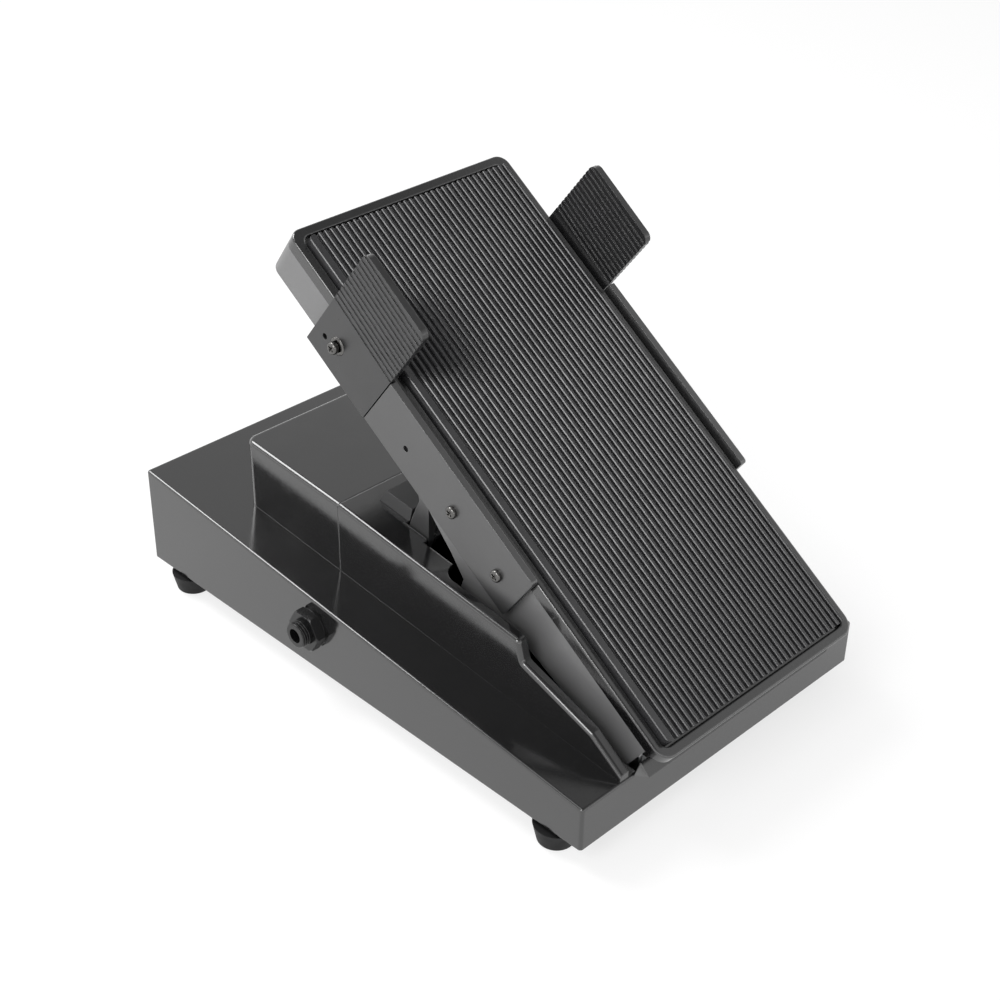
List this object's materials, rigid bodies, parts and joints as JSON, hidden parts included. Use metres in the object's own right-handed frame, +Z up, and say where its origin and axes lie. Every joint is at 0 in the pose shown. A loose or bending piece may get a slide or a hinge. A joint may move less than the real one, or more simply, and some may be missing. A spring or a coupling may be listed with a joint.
{
  "type": "expression pedal",
  "caption": "Foot-operated expression pedal: wedge case, raised hood, tilting treadle with ribbed mat, side kick paddles, toothed sector drive and jack sockets.",
  "frame": {"origin": "centre of the pedal's bounding box in X and Y, at the underside of its feet", "axes": "+Z up, +Y along the case from heel to toe, +X to the player's right"},
  "size_m": [0.1758, 0.2812, 0.1902],
  "materials": {
    "case_paint": "satin black powder coat",
    "treadle_paint": "semi-gloss black paint",
    "mat_rubber": "ribbed black rubber",
    "foot_rubber": "matt black rubber",
    "kick_steel": "satin black paint",
    "paddle_plastic": "moulded black plastic",
    "jack_plastic": "black moulded plastic",
    "collar_plastic": "black moulded plastic",
    "dark_screw": "dark nickel plate",
    "zinc_steel": "zinc plate",
    "nylon": "natural nylon",
    "brass": "plain brass",
    "board": "green board",
    "switch_plastic": "black moulded plastic"
  },
  "bodies": {
    "base": {"case_shell": "case_paint", "base_plate": "case_paint", "base_screws": "dark_screw", "foot_front_left": "foot_rubber", "foot_front_right": "foot_rubber", "foot_rear_left": "foot_rubber", "foot_rear_right": "foot_rubber", "foot_screws": "dark_screw", "foot_nuts": "zinc_steel", "front_hood": "case_paint", "rear_hood": "case_paint", "hood_joint_strip": "zinc_steel", "hood_screws": "zinc_steel", "slot_collar": "collar_plastic", "side_jack": "jack_plastic", "rear_jack": "jack_plastic", "jack_washers": "jack_plastic", "jack_nuts": "jack_plastic", "jack_lugs": "brass", "hinge_bracket_left": "zinc_steel", "hinge_bracket_right": "zinc_steel", "hinge_bushes": "nylon", "pot_bracket": "zinc_steel", "pot_body": "zinc_steel", "pot_nut": "zinc_steel", "pot_lugs": "brass", "terminal_board": "board", "board_standoffs": "brass", "board_screws": "zinc_steel", "stop_posts": "zinc_steel", "stop_bumpers": "foot_rubber"},
    "treadle": {"treadle_pan": "treadle_paint", "tread_mat": "mat_rubber", "hinge_channel": "zinc_steel", "channel_rivets": "zinc_steel", "hinge_axle": "zinc_steel", "axle_clips": "zinc_steel", "friction_washers": "nylon", "drive_arm": "kick_steel", "arm_screws": "zinc_steel", "arm_stop_pin": "zinc_steel", "arm_stop_sleeves": "foot_rubber", "left_kick_bracket": "kick_steel", "right_kick_bracket": "kick_steel", "kick_bracket_screws": "dark_screw", "kick_bracket_spacers": "zinc_steel", "kick_nuts": "zinc_steel", "kick_pins": "zinc_steel", "kick_stop_screws": "dark_screw", "switch_boards": "board", "kick_switches": "switch_plastic", "switch_studs": "zinc_steel"},
    "left_paddle": {"left_kick_paddle": "paddle_plastic", "left_spring_washer": "dark_screw"},
    "right_paddle": {"right_kick_paddle": "paddle_plastic", "right_spring_washer": "dark_screw"},
    "left_plunger": {"left_plunger": "nylon"},
    "right_plunger": {"right_plunger": "nylon"},
    "pinion": {"pinion": "nylon", "pot_shaft": "zinc_steel"}
  },
  "joints": [
    {"name": "treadle_hinge", "type": "hinge", "parent": "base", "child": "treadle", "pos_m": [0.0136, -0.11893, 0.0345], "axis": [1, 0, 0], "range_deg": [-7, 0]},
    {"name": "pinion_spin", "type": "hinge", "parent": "base", "child": "pinion", "pos_m": [-0.0354, 0.01451, 0.05444], "axis": [1, 0, 0], "range_deg": [-6, 138]},
    {"name": "left_kick", "type": "hinge", "parent": "treadle", "child": "left_paddle", "pos_m": [-0.0436, 0.01052, 0.12936], "axis": [0, -0.57, 0.8216], "range_deg": [0, 2], "stiffness_Nm_per_rad": 2, "springref_deg": -2.86},
    {"name": "right_kick", "type": "hinge", "parent": "treadle", "child": "right_paddle", "pos_m": [0.0708, 0.01052, 0.12936], "axis": [0, 0.57, -0.8216], "range_deg": [0, 2], "stiffness_Nm_per_rad": 2, "springref_deg": -2.86},
    {"name": "left_plunger_slide", "type": "slide", "parent": "treadle", "child": "left_plunger", "axis": [-1, 0, 0], "range_m": [0, 0.0006]},
    {"name": "right_plunger_slide", "type": "slide", "parent": "treadle", "child": "right_plunger", "axis": [1, 0, 0], "range_m": [0, 0.0006]}
  ],
  "couplings": [
    {"joint": "pinion_spin", "follows": "treadle_hinge", "ratio": -18.824},
    {"joint": "left_plunger_slide", "follows": "left_kick", "m_per_rad": 0.014},
    {"joint": "right_plunger_slide", "follows": "right_kick", "m_per_rad": 0.014}
  ]
}
